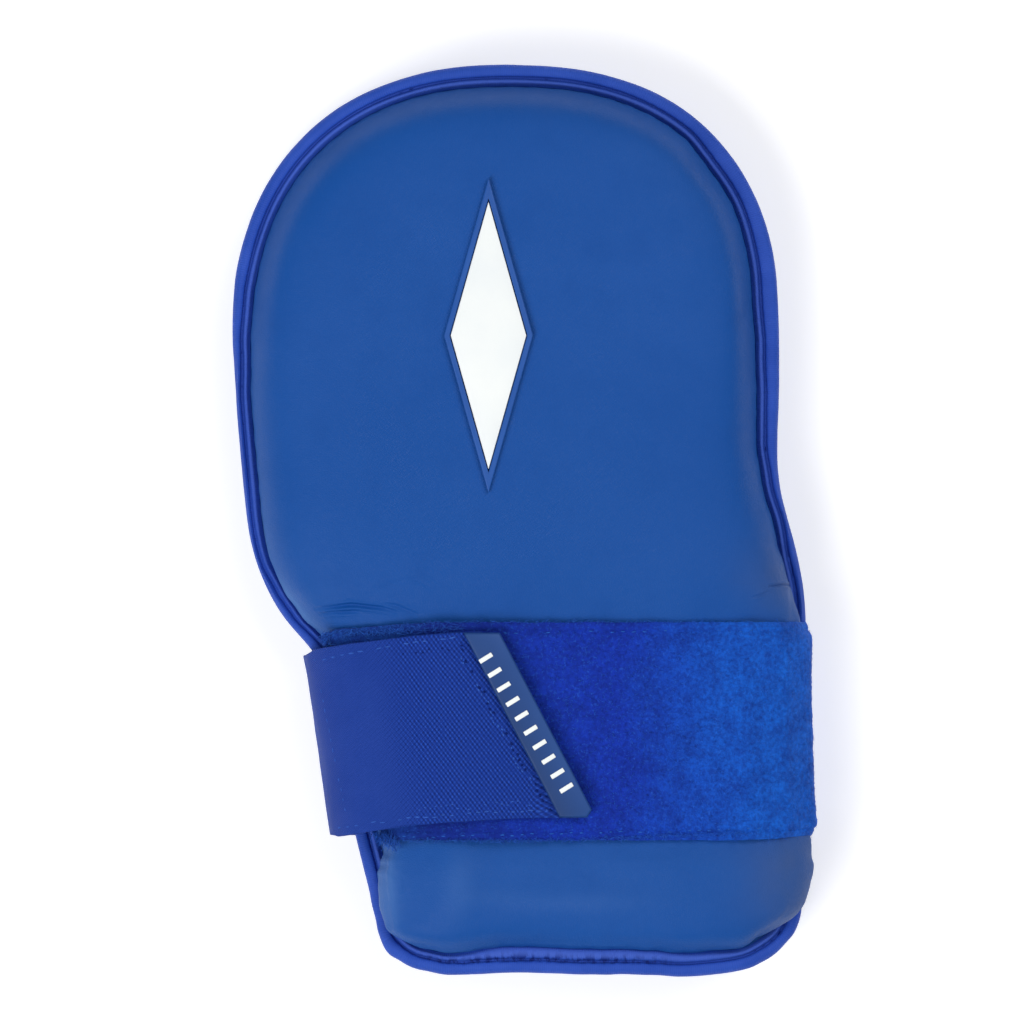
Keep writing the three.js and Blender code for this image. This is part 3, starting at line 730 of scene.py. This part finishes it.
def paddedLeather(nodeName, face, bindingName):
    p = padding
    bm = copyOf(nodeName)
    subdivided(bm, 2, 4)
    tree, steps = tracks[bindingName]
    outside = [v for v in bm.verts if v.normal.z * face > -0.3
               and (v.co.z - binding["seamUp"] * mm) * face > 7 * mm and tree.find(v.co)[2] > p["rim"] * mm]
    for turn in range(p["smoothings"]):
        bmesh.ops.smooth_vert(bm, verts=outside, factor=0.5, use_axis_x=True, use_axis_y=True, use_axis_z=True)
    if face > 0:
        made = creaseTracks()

        def creased(edge):
            middle = (edge.verts[0].co + edge.verts[1].co) / 2
            return any(track.find(Vector((*middle.xy, 0.0)))[2] < 4.5 * mm for crease, track, points in made)

        near = [e for e in bm.edges if e.verts[0].co.z > p["backOver"] * mm and creased(e)]
        bmesh.ops.subdivide_edges(bm, edges=near, cuts=4, use_grid_fill=True, smooth=0.0)
        bm.normal_update()
    subdivided(bm, 1)
    rubbed = bm.verts.layers.float.new("rubbed")
    pale = bm.verts.layers.float.new("pale")
    for v in bm.verts:
        index, away = tree.find(v.co)[1:]
        away /= mm
        place, forward, travelled = steps[index]
        inward = inwardAt(place, forward)
        side = (v.co - place).dot(inward) / mm
        pucker = 0.0
        if v.normal.z * face > -0.4:
            phase = travelled / mm * 2 * math.pi / p["puckerPitch"] + 2.5 * noise.noise(v.co * 30)
            pucker = p["pucker"] * math.sin(phase) * math.exp(-((away - 3) / 3.2) ** 2)
        soft = p["soft"] * noise.noise(v.co * 18) + p["fine"] * noise.noise(v.co * 62)
        if face < 0 and v.co.z < 1.5 * mm:  # the face that the mitt rests on stays flat
            soft = 0.0
        rise = pucker + soft * smoothStep(3, 12, away) - p["sink"] * (1 - smoothStep(1.6, 2.6, side))
        px, py = pixel(v.co)
        if face > 0 and v.co.z > p["backOver"] * mm and v.normal.z > 0.2:
            rise *= besideEmblem(v.co)
            rise += creaseRise(made, Vector((v.co.x, v.co.y, 0.0)))
            for dent in dents:
                off = (v.co - spot(*dent["at"])) / mm
                rise += dent["rise"] * math.exp(-(off.x / dent["reach"][0]) ** 2 - (off.y / dent["reach"][1]) ** 2)
        v.co += v.normal * rise * mm
        v.co += eased(v.co)
        v.co.y += widened(v.co) * smoothStep(2.0, 3.4, away) * (1 - smoothStep(4, 16, away))
        if face > 0:
            nearRim = 1 - smoothStep(6, 22, away)
            v.co -= inward * turnedAt(place, side) * nearRim
            edge = along(rightEdge, py) if px > 600 else along(leftEdge, py)
            v.co.x += edge * smoothStep(1.6, 3.6, away) * nearRim * mm
            v.co += cornerPull(px, py, away)
            # painted grey sheen
            v[rubbed] = spotted(paintedSheenSpots, px, py)
            # painted highlights, and a painted highlight along the rim beside the tape, strongest on the left
            rim = along(rimLight, py) if px < 500 else 0.05
            v[pale] = spotted(paintedHighlightSpots, px, py) + rim * math.exp(-max(side - 3.4, 0) / 1.1)
        else:
            # a painted grey sheen near the palm pad's edges
            v[rubbed] = 0.4 * math.exp(-away / 5)
            v.co.z = max(v.co.z, 0.0)
    piece = finished(bm, nodeName + "_leather", leather, nodeName)


paddedLeather("back_pad", 1, "back_binding")
paddedLeather("palm_pad", -1, "palm_binding")
print("padded leather made")

# Wrist band of loop pile: a grid laid over the band's section at many heights

band = {
    "columns": 320, "rows": 76, "wall": 1.3, "selvedge": 2.6, "core": (0.012, 0.023),
    # how far its upper edge sags, and its left end and right side move, in mm
    "droop": 3.2, "endShift": 2.8, "topEndShift": 1.9, "endDroop": 1.3, "topPull": 1.5, "lowPull": 1.6, "lowRise": 1.0,
    "loopsFront": 9000, "loopsRound": 5600,
}


def sectionAt(tree, core, y, first, turn, steps=720):  # outer points of a wrapped sheet at one height, seen from its core
    found = []
    for k in range(steps):
        angle = math.radians(first + turn * k / steps)
        way = Vector((math.cos(angle), 0, math.sin(angle)))
        start = Vector((core[0], y, core[1]))
        hit = tree.ray_cast(start + way * 0.25, -way, 0.25)
        if hit[0] is not None:
            found.append(hit[0])
    return found


def evenly(points, count):  # even steps along straight lines through points, and their whole length
    lengths = [0.0]
    for a, b in zip(points, points[1:]):
        lengths.append(lengths[-1] + (b - a).length)
    result, k = [], 0
    for n in range(count + 1):
        want = lengths[-1] * n / count
        while k < len(points) - 2 and lengths[k + 1] < want:
            k += 1
        share = (want - lengths[k]) / max(lengths[k + 1] - lengths[k], 1e-9)
        result.append(points[k].lerp(points[k + 1], min(max(share, 0.0), 1.0)))
    return result, lengths[-1]


def wristBand():
    b = band
    tree = surfaceOf(frame["nodes"]["wrist_band"].data)
    low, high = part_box("wrist_band")
    droopFrom, droopTo = spot(474, 0).x, spot(324, 0).x
    heights = [low.y + 0.05 * mm + (high.y - low.y - 0.1 * mm) * k / b["rows"] for k in range(b["rows"] + 1)]
    rows = [evenly(sectionAt(tree, b["core"], y, 179, -358), b["columns"]) for y in heights]
    bm = bmesh.new()
    bmesh.ops.create_grid(bm, x_segments=b["columns"], y_segments=b["rows"], size=0.5)
    run = bm.verts.layers.float.new("along")
    across = bm.verts.layers.float.new("across")
    for v in bm.verts:
        i, j = round((v.co.x + 0.5) * b["columns"]), round((v.co.y + 0.5) * b["rows"])
        points, length = rows[j]
        v[run] = length * i / b["columns"]
        v[across] = heights[j]
        v.co = points[i]
    bmesh.ops.recalc_face_normals(bm, faces=bm.faces)
    if sum(f.normal.z for f in bm.faces if f.calc_center_median().z > 40 * mm) < 0:
        bmesh.ops.reverse_faces(bm, faces=bm.faces)
    bm.normal_update()
    for v in bm.verts:
        edge = min(v[across] - low.y, high.y - v[across]) / mm
        groove = -0.55 * math.exp(-((edge - b["selvedge"]) / 0.7) ** 2)
        lip = -0.5 * math.exp(-(edge / 0.8) ** 2)
        uneven = 0.25 * noise.noise(v.co * 70) + 0.15 * noise.noise(v.co * 220) + 0.22 * noise.noise(v.co * 620)
        v.co += v.normal * (groove + lip + uneven) * mm
        v.co.y += 0.25 * noise.noise(v.co * 210) * (1 - smoothStep(0.0, 2.5, edge)) * mm
        if v.co.z > 30 * mm:
            droop = min(max((droopFrom - v.co.x) / (droopFrom - droopTo), 0.0), 1.2) ** 2
            share = (v[across] - low.y) / (high.y - low.y)
            upper = smoothStep(0.35, 1.0, share)
            nearEnd = 1 - smoothStep(0.0, 20 * mm, v[run])
            v.co.y -= b["droop"] * droop * upper * mm
            v.co.x -= b["endShift"] * (1 - smoothStep(0.0, 0.5, share)) * nearEnd * mm
            v.co.y -= b["endDroop"] * (1 - smoothStep(0.0, 6 * mm, v[run])) * upper * mm
            v.co.x -= b["topEndShift"] * smoothStep(0.6, 1.0, share) * nearEnd * mm
        turning = smoothStep(66 * mm, 84 * mm, v.co.x)
        below = (v[across] - low.y) / mm
        pull = b["topPull"] * (1 - smoothStep(0.0, 5.0, (high.y - v[across]) / mm))
        pull += b["lowPull"] * (1 - smoothStep(0.0, 4.0, below))
        v.co.x -= pull * turning * mm
        v.co.y += b["lowRise"] * (1 - smoothStep(0.0, 6.0, below)) * turning * mm
    surface = BVHTree.FromBMesh(bm)
    samples = [(v.co.copy(), v.normal.copy(), v[run], v[across]) for v in bm.verts]
    bmesh.ops.solidify(bm, geom=bm.faces[:], thickness=b["wall"] * mm)
    bmesh.ops.recalc_face_normals(bm, faces=bm.faces)
    piece = finished(bm, "wrist_band_ground", groundCloth, "wrist_band", sharp=50)
    length = sum(r[1] for r in rows) / len(rows)
    return piece, samples, surface, length


bandPiece, bandSamples, bandSurface, bandLength = wristBand()
print("wrist band made, length", round(bandLength / mm, 1), "mm")


def strand(sides, steps, angle):  # part of a ring of yarn, closed at both ends
    bm = bmesh.new()
    ring = bmesh.ops.create_circle(bm, segments=sides, radius=0.06)["verts"]
    bmesh.ops.rotate(bm, verts=ring, cent=(0, 0, 0), matrix=Matrix.Rotation(math.pi / 2, 3, "Y"))
    bmesh.ops.translate(bm, verts=ring, vec=(0, 0, 1))
    bmesh.ops.rotate(bm, verts=bm.verts, cent=(0, 0, 0), matrix=Matrix.Rotation(-angle / 2, 3, "Y"))
    bmesh.ops.spin(bm, geom=bm.edges[:], cent=(0, 0, 0), axis=(0, 1, 0), angle=angle, steps=steps)
    bmesh.ops.holes_fill(bm, edges=[e for e in bm.edges if e.is_boundary], sides=sides)
    bmesh.ops.recalc_face_normals(bm, faces=bm.faces)
    bmesh.ops.translate(bm, verts=bm.verts, vec=(0, 0, -math.cos(angle / 2)))
    wide = 2 * math.sin(angle / 2)
    bmesh.ops.scale(bm, verts=bm.verts, vec=(1 / wide, 1.0, 1 / wide))
    mesh = meshFrom(bm, "strand")
    mesh.attributes.new("tint", "FLOAT", "POINT")
    return mesh


def pile(name, count, wanted):
    loop = strand(3, 3, 2.6)
    spots = [sample for sample in bandSamples if wanted(sample[0], sample[1])]
    bm = bmesh.new()
    for n in range(count):
        place, normal, run, height = spots[dice.randrange(len(spots))]
        edge = min(height - bandLow.y, bandHigh.y - height) / mm
        shift = Vector((dice.uniform(-0.7, 0.7), dice.uniform(-0.7, 0.7), dice.uniform(-0.7, 0.7))) * mm
        shift -= normal * shift.dot(normal)
        forward = Vector((dice.gauss(0, 1), dice.gauss(0, 1), dice.gauss(0, 1)))
        forward = (forward - normal * forward.dot(normal)).normalized()
        up = (normal + forward.cross(normal) * dice.uniform(-0.9, 0.9)).normalized()
        tall = dice.uniform(0.5, 1.15) * (0.6 if edge < 3.2 else 1.0)
        wide = dice.uniform(0.5, 1.3)
        tint = 0.8 * dice.random() ** 5 + 0.1 * dice.random()
        loop.attributes["tint"].data.foreach_set("value", [tint] * len(loop.vertices))
        placed(bm, loop, place + shift - normal * 0.1 * mm, forward, up, (wide * mm, 0.8 * mm, tall * mm))
    return finished(bm, name, fibres)


bandLow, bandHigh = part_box("wrist_band")
strapLow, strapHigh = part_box("hook_strap")


def frontSpot(place, normal):  # on top and not under the strap
    slant = strapLow.x + 48 * mm + (strapHigh.y - place.y) * 0.45
    return normal.z > 0.3 and (place.x > slant or place.y > strapHigh.y - 9 * mm or place.y < strapLow.y + 4 * mm)


frontPile = pile("pile_front", band["loopsFront"], frontSpot)
roundPile = pile("pile_round", band["loopsRound"], lambda place, normal: normal.z <= 0.3)
print("loop pile made")

# Loose hairs along the band's edges and ends: a line in the photograph, then spread, length and the farthest that a
# hair may stand off the band, all in mm, and the heading and its spread in degrees
fringes = [
    {"line": [(404, 839), (560, 838), (808, 829)],
     "spread": 0.7, "count": 700, "long": (0.6, 1.7), "heading": 10, "turn": 65, "reach": 1.5},
    {"line": [(345, 628), (400, 624), (470, 621), (806, 620)],
     "spread": 0.5, "count": 520, "long": (0.5, 1.3), "heading": 10, "turn": 60, "reach": 1.2},
    {"line": [(376, 833), (386, 838), (397, 842)],
     "spread": 1.6, "count": 210, "long": (1.6, 3.6), "heading": -80, "turn": 50, "reach": 3.5},
    {"line": [(326, 634), (325, 650)],
     "spread": 1.4, "count": 170, "long": (1.2, 2.8), "heading": 60, "turn": 70, "reach": 3.0},
    {"line": [(332, 634), (400, 630), (462, 627)],
     "spread": 1.2, "count": 260, "long": (1.0, 2.2), "heading": 20, "turn": 80, "reach": 2.0},
]


def fringe():
    hair = strand(3, 4, 2.2)
    bm = bmesh.new()
    for f in fringes:
        steps = spaced([spot(*p) for p in f["line"]], 0.0002)
        for n in range(f["count"]):
            place, forward, travelled = steps[dice.randrange(len(steps))]
            place = place + Vector((dice.gauss(0, 1), dice.gauss(0, 1), 0)) * f["spread"] * 0.5 * mm
            hit = bandSurface.find_nearest(Vector((place.x, place.y, 0.05)))[0]
            if (hit.xy - place.xy).length > f["reach"] * mm:
                continue
            turn = math.radians(f["heading"] + dice.uniform(-1, 1) * f["turn"])
            way = Vector((math.cos(turn), math.sin(turn), dice.uniform(-0.2, 0.3))).normalized()
            long = dice.uniform(*f["long"]) * mm
            hair.attributes["tint"].data.foreach_set("value", [dice.uniform(0.05, 0.75)] * len(hair.vertices))
            root = Vector((place.x, place.y, hit.z + dice.uniform(0.0, 0.6) * mm))
            placed(bm, hair, root, way, Vector((0, 0, 1)), (long, 0.9 * mm, long * dice.uniform(0.3, 1.0)))
    return finished(bm, "band_fringe", fibres)


bandFringe = fringe()
print("fringe made")

# Hook strap

strap = {
    "width": 54.0, "edge": 0.5, "corner": 1.5, "coreIn": 30.0, "coreUp": 24.0, "steps": 240,
    "smoothUntil": 385, "twillFrom": 440,  # places across the photograph
}


def straightened(tree, y, core):  # the strap's path round its core, with a tree to find the nearest step
    steps, length = evenly(sectionAt(tree, core, y, 0, 360), strap["steps"])
    guide = KDTree(len(steps))
    for k, p in enumerate(steps):
        guide.insert(Vector((p.x, 0, p.z)), k)
    guide.balance()
    return guide, steps, length


def hookStrap():
    s = strap
    bm = copyOf("hook_strap")
    softenEdges(bm, 55, s["edge"], 2)
    subdivided(bm, 2, 3)
    low, high = strapLow, strapHigh
    solid = surfaceOf(frame["nodes"]["hook_strap"].data)
    guide, steps, length = straightened(solid, (low.y + high.y) / 2, (low.x + s["coreIn"] * mm, s["coreUp"] * mm))
    run = bm.verts.layers.float.new("along")
    across = bm.verts.layers.float.new("across")
    smooth = bm.verts.layers.float.new("smooth")
    left, right = spot(s["smoothUntil"], 0).x, spot(s["twillFrom"], 0).x
    for v in bm.verts:
        k = guide.find(Vector((v.co.x, 0, v.co.z)))[1]
        tangent = (steps[min(k + 1, s["steps"])] - steps[max(k - 1, 0)]).normalized()
        v[run] = k * length / s["steps"] + (v.co - steps[k]).dot(tangent)
        v[across] = v.co.y
        v[smooth] = 1 - smoothStep(left, right, v.co.x + 0.15 * (v.co.y - low.y)) if v.co.z > 0.02 else 1.0
        v[smooth] = max(v[smooth], 0.8 * smoothStep(0.3, 0.85, abs(v.normal.y)))
        soft = 0.3 * noise.noise(v.co * 45) + 0.15 * noise.noise(v.co * 130)
        v.co += v.normal * soft * mm
        px, py = pixel(v.co)
        v.co.y -= s["corner"] * (1 - smoothStep(303, 318, px)) * (1 - smoothStep(650, 680, py)) * mm
        v.co.y += 0.5 * s["corner"] * (1 - smoothStep(328, 340, px)) * smoothStep(810, 836, py) * mm
    bmesh.ops.recalc_face_normals(bm, faces=bm.faces)
    piece = finished(bm, "hook_strap_webbing", webbing, "hook_strap")
    return piece, length


strapPiece, strapLength = hookStrap()
print("hook strap made, length", round(strapLength / mm, 1), "mm")


def seam(bm, tree, pixels, pitch, length, radius, sink=0.1, sway=0.12, missing=0.04):
    stitch = bead(length * mm, radius * mm)
    for place, forward, travelled in spaced([spot(*p) for p in pixels], pitch * mm):
        hit, normal = onTop(tree, place)
        if hit is None or dice.random() < missing:
            continue
        turned = (forward - normal * forward.dot(normal)).normalized()
        turned = (turned + normal.cross(turned) * dice.uniform(-0.16, 0.16)).normalized()
        off = normal.cross(turned) * dice.uniform(-sway, sway) * mm
        scale = (dice.uniform(0.7, 1.15), dice.uniform(0.8, 1.2), 1.0)
        placed(bm, stitch, hit + off - normal * sink * radius * mm, turned, normal, scale)


# Each seam runs through places in the photograph, with its pitch and the stitches' length and radius in mm
strapTree = surfaceOf(strapPiece.data)
sewn = bmesh.new()
seam(sewn, strapTree, [(316, 660), (345, 653), (380, 647), (420, 641), (462, 637)], 2.7, 1.7, 0.24, sway=0.3,
     missing=0.22)
seam(sewn, strapTree, [(340, 826), (380, 820), (430, 815), (490, 810), (548, 808)], 2.5, 1.6, 0.24, sway=0.3,
     missing=0.2)
seam(sewn, strapTree, [(458, 648), (487, 703), (520, 764), (547, 808)], 1.5, 0.9, 0.26, sway=0.8, missing=0.5)
seam(sewn, strapTree, [(420, 806), (480, 804), (540, 800)], 1.6, 0.8, 0.2, sway=1.0, missing=0.4)
seam(sewn, strapTree, [(322, 690), (330, 730), (338, 770), (346, 808)], 3.0, 1.3, 0.2)
finished(sewn, "strap_stitches", strapThread)
sewn = bmesh.new()
seam(sewn, strapTree, [(461, 650), (490, 705), (523, 766), (550, 808)], 1.7, 1.0, 0.3, sink=0.6, sway=0.6,
     missing=0.4)
seam(sewn, strapTree, [(404, 655), (430, 650), (462, 646)], 2.0, 0.8, 0.2, sink=0.6, sway=0.8, missing=0.4)
finished(sewn, "strap_dark_stitches", darkThread)
sewn = bmesh.new()
seam(sewn, bandSurface, [(346, 637), (400, 632), (500, 632), (650, 631), (803, 630)], 3.1, 1.2, 0.17, sink=-0.5,
     sway=0.35, missing=0.5)
seam(sewn, bandSurface, [(385, 836), (500, 833), (650, 830), (806, 824)], 2.9, 1.2, 0.18, sink=-0.5,
     sway=0.35, missing=0.35)
finished(sewn, "band_stitches", bandThread)
print("stitches made")

# Pull tab with plain raised bars

tab = {"bars": 10, "from": (486, 657), "to": (566, 786), "bar": (1.35, 4.3, 0.7), "barEdge": 0.16}


def softened(nodeName, name, look, offset, segments):
    bm = copyOf(nodeName)
    softenEdges(bm, 30, offset, segments)
    return finished(bm, name, look, nodeName, sharp=45)


def barMesh():
    bm = bmesh.new()
    bmesh.ops.create_cube(bm, size=1.0)
    bmesh.ops.scale(bm, vec=[length * mm for length in tab["bar"]], verts=bm.verts)
    bmesh.ops.bevel(bm, geom=bm.edges[:], offset=tab["barEdge"] * mm, segments=2, affect="EDGES", profile=0.5,
                    material=-1)
    return meshFrom(bm, "bar")


tabPiece = softened("pull_tab", "pull_tab_moulding", tabRubber, 0.3, 3)
tabShade = tabPiece.data.attributes.new("shade", "FLOAT", "POINT")
start, end = spot(*tab["from"]), spot(*tab["to"])
tabLine = (end - start).normalized()
for v in tabPiece.data.vertices:
    tabShade.data[v.index].value = smoothStep(1.5, -4.0, -(v.co - start).cross(tabLine).z / mm)
tabTree = surfaceOf(tabPiece.data)
bars = bmesh.new()
bar = barMesh()
for k in range(tab["bars"]):
    hit, normal = onTop(tabTree, start.lerp(end, k / (tab["bars"] - 1)))
    forward = end - start
    forward = (forward - normal * forward.dot(normal)).normalized()
    placed(bars, bar, hit, forward, normal)
finished(bars, "tab_bars", whiteRubber, sharp=45)
softened("emblem_rim", "emblem_rim_moulding", blueRubber, 0.35, 3)
softened("emblem_face", "emblem_face_inlay", whiteRubber, 0.15, 2)
print("tab and emblem made")

# Floor, lights and camera

floorBm = bmesh.new()
bmesh.ops.create_grid(floorBm, x_segments=2, y_segments=2, size=3.0)
bmesh.ops.translate(floorBm, vec=(0, 0, -0.0003), verts=floorBm.verts)
floor = bpy.data.objects.new("floor", meshFrom(floorBm, "floor"))
bpy.context.scene.collection.objects.link(floor)
floor.data.materials.append(material("floor", Base_Color=rgb(0.93, 0.93, 0.93), Roughness=0.9,
                                     Emission_Color=rgb(1, 1, 1), Emission_Strength=0.35)[0])

sky = {"zenith": 0.18, "horizon": 0.3}
studio = bpy.data.worlds.new("studio")
studio.use_nodes = True
skyTree = studio.node_tree
up = node(skyTree, "SeparateXYZ", Vector=node(skyTree, "TexCoord").outputs["Generated"]).outputs["Z"]
glow = ranged(skyTree, up, 0.35, 0.9, sky["horizon"], sky["zenith"])
skyTree.links.new(glow, skyTree.nodes["Background"].inputs["Strength"])
skyTree.nodes["Background"].inputs["Color"].default_value = rgb(1.0, 1.0, 1.0)
bpy.context.scene.world = studio
bpy.context.scene.view_settings.view_transform = "Standard"


def areaLight(name, place, aim, size, power):
    light = bpy.data.lights.new(name, "AREA")
    light.size = size
    light.energy = power
    lamp = bpy.data.objects.new(name, light)
    lamp.location = place
    lamp.rotation_euler = (Vector(aim) - Vector(place)).to_track_quat("-Z", "Y").to_euler()
    bpy.context.scene.collection.objects.link(lamp)


areaLight("key", (-0.65, -0.6, 1.25), (0, 0, 0), 0.9, 15)
areaLight("fill", (0.6, 0.55, 1.35), (0, 0, 0), 1.0, 11)

lens = {"away": 4.0, "sensor": 36.0}
side = picture["side"] * picture["mmPerPixel"] * mm
eye = bpy.data.cameras.new("camera")
eye.sensor_width = lens["sensor"]
eye.lens = lens["sensor"] * lens["away"] / side
eye.clip_end = 20
camera = bpy.data.objects.new("camera", eye)
centre = spot(picture["side"] / 2, picture["side"] / 2)
camera.location = (centre.x, centre.y, lens["away"] + binding["seamUp"] * mm)
camera.rotation_euler = (0, 0, 0)
bpy.context.scene.collection.objects.link(camera)
bpy.context.scene.camera = camera
print("stage made")

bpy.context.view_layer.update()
counts = sorted(((sum(len(p.vertices) - 2 for p in o.data.polygons), o.name)
                 for o in bpy.data.objects if o.type == "MESH"), reverse=True)
print("triangles", sum(c[0] for c in counts), counts[:6])
